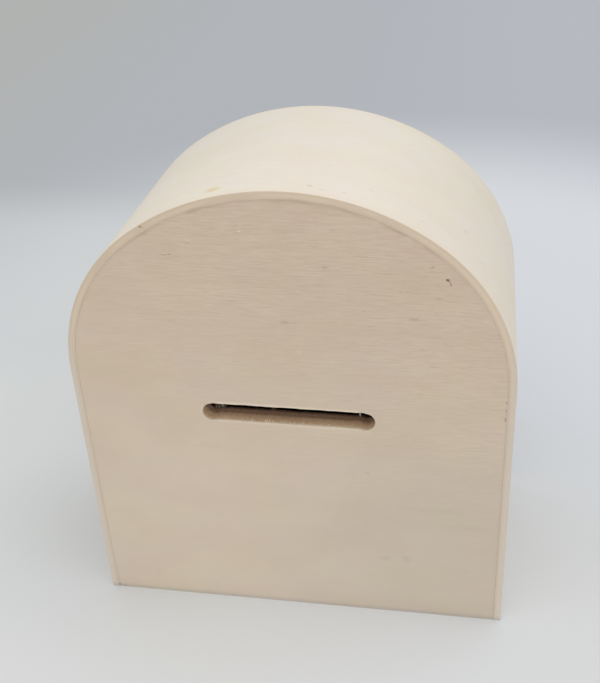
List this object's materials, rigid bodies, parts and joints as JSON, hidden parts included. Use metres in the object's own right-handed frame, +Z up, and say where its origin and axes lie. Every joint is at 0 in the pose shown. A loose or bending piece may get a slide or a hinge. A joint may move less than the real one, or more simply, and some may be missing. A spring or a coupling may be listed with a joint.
{
  "type": "money box",
  "caption": "Arch-shaped plywood coin bank: a bent band round flat panels, a coin slot in the front panel and a push-in stopper in the raised base board.",
  "frame": {"origin": "middle of the underside, on the surface that the box stands on", "axes": "+Z up to the crown of the arch, -Y out of the front panel with the coin slot, +X to the right as seen from the front"},
  "size_m": [0.11, 0.06, 0.123],
  "materials": {
    "bent_plywood": "bare, fine sanded, pale",
    "panel_plywood": "bare, fine sanded, pale",
    "base_plywood": "bare, rougher on its hidden faces",
    "stopper_rubber": "soft moulded, matt black"
  },
  "bodies": {
    "box": {"bent_band": "bent_plywood", "front_panel": "panel_plywood", "back_panel": "panel_plywood", "base_board": "base_plywood"},
    "stopper": {"stopper": "stopper_rubber"}
  },
  "joints": [
    {"name": "stopper_pull", "type": "slide", "parent": "box", "child": "stopper", "axis": [0, 0, -1], "range_m": [0, 0.02]}
  ]
}
